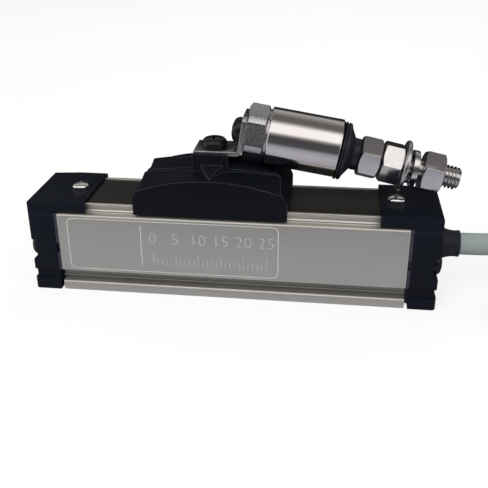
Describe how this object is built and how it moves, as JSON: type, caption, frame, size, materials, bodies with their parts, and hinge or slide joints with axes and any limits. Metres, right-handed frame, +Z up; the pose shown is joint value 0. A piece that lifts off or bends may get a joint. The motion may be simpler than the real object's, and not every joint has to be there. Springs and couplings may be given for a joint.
{
  "type": "linear potentiometer displacement sensor",
  "caption": "Linear position sensor: a moulded carriage slides along an extruded housing and a ball joint with a threaded stud links it to a machine part",
  "frame": {"origin": "middle of the underside of the extruded housing", "axes": "+X along the housing towards the cable end, +Z up through the carriage, -Y the engraved front face"},
  "size_m": [0.199, 0.046, 0.0419],
  "materials": {
    "anodised_profile": "satin champagne-grey anodised",
    "cap_plastic": "matte moulded black",
    "gasket_rubber": "matte sheet",
    "black_steel": "black oxide",
    "plated_steel": "bright nickel plated",
    "band_steel": "dark matte strip",
    "board": "glass fibre laminate",
    "track_ink": "printed conductive plastic",
    "core_plastic": "coloured insulation",
    "gland_rubber": "moulded rubber",
    "jacket": "soft grey jacket",
    "tie_nylon": "nylon",
    "carriage_plastic": "matte moulded black",
    "pad_plastic": "acetal",
    "spring_steel": "cold rolled",
    "brush_bronze": "spring bronze",
    "insert_brass": "turned and knurled",
    "galvanised_steel": "zinc plated",
    "turned_steel": "turned",
    "seat_plastic": "acetal",
    "liner_plastic": "bearing plastic",
    "boot_rubber": "moulded rubber"
  },
  "bodies": {
    "housing": {"profile_housing": "anodised_profile", "end_cap_left": "cap_plastic", "end_cap_right": "cap_plastic", "gasket_left": "gasket_rubber", "gasket_right": "gasket_rubber", "end_screws_left": "black_steel", "end_screws_right": "black_steel", "band_screw_left": "plated_steel", "band_screw_right": "plated_steel", "cover_band": "band_steel", "element_board": "board", "resistive_track": "track_ink", "collector_track": "track_ink", "core_wires": "core_plastic", "cable_gland": "gland_rubber", "cable_inner": "jacket", "cable_lead": "jacket", "cable_hank": "jacket", "cable_cores": "core_plastic", "cable_ties": "tie_nylon"},
    "carriage": {"carriage": "carriage_plastic", "glide_pads": "pad_plastic", "wiper_carrier": "spring_steel", "wiper_block": "pad_plastic", "wiper_brushes": "brush_bronze", "bracket_insert": "insert_brass", "bracket": "galvanised_steel", "bracket_screw": "black_steel", "joint_screw": "black_steel", "joint_plug": "turned_steel", "joint_housing": "turned_steel", "seat_spring": "spring_steel", "rear_seat": "seat_plastic", "front_seat": "seat_plastic"},
    "liner": {"ball_liner": "liner_plastic"},
    "boot": {"dust_boot": "boot_rubber"},
    "stud": {"ball_stud": "plated_steel", "lock_nut_inner": "plated_steel", "lock_nut_outer": "plated_steel", "flat_washer": "plated_steel", "spring_washer": "plated_steel", "end_nut": "plated_steel"}
  },
  "joints": [
    {"name": "carriage_slide", "type": "slide", "parent": "housing", "child": "carriage", "axis": [1, 0, 0], "range_m": [-0.0108, 0.0194]},
    {"name": "ball_yaw", "type": "hinge", "parent": "carriage", "child": "liner", "pos_m": [0.01648, 0, 0.03366], "axis": [0.1564, 0, 0.9877], "range_deg": [-10, 10]},
    {"name": "ball_pitch", "type": "hinge", "parent": "liner", "child": "boot", "pos_m": [0.01648, 0, 0.03366], "axis": [0, 1, 0], "range_deg": [-12, 0.3]},
    {"name": "stud_spin", "type": "hinge", "parent": "boot", "child": "stud", "pos_m": [0.01648, 0, 0.03366], "axis": [0.9774, 0, -0.2113], "continuous": true}
  ]
}
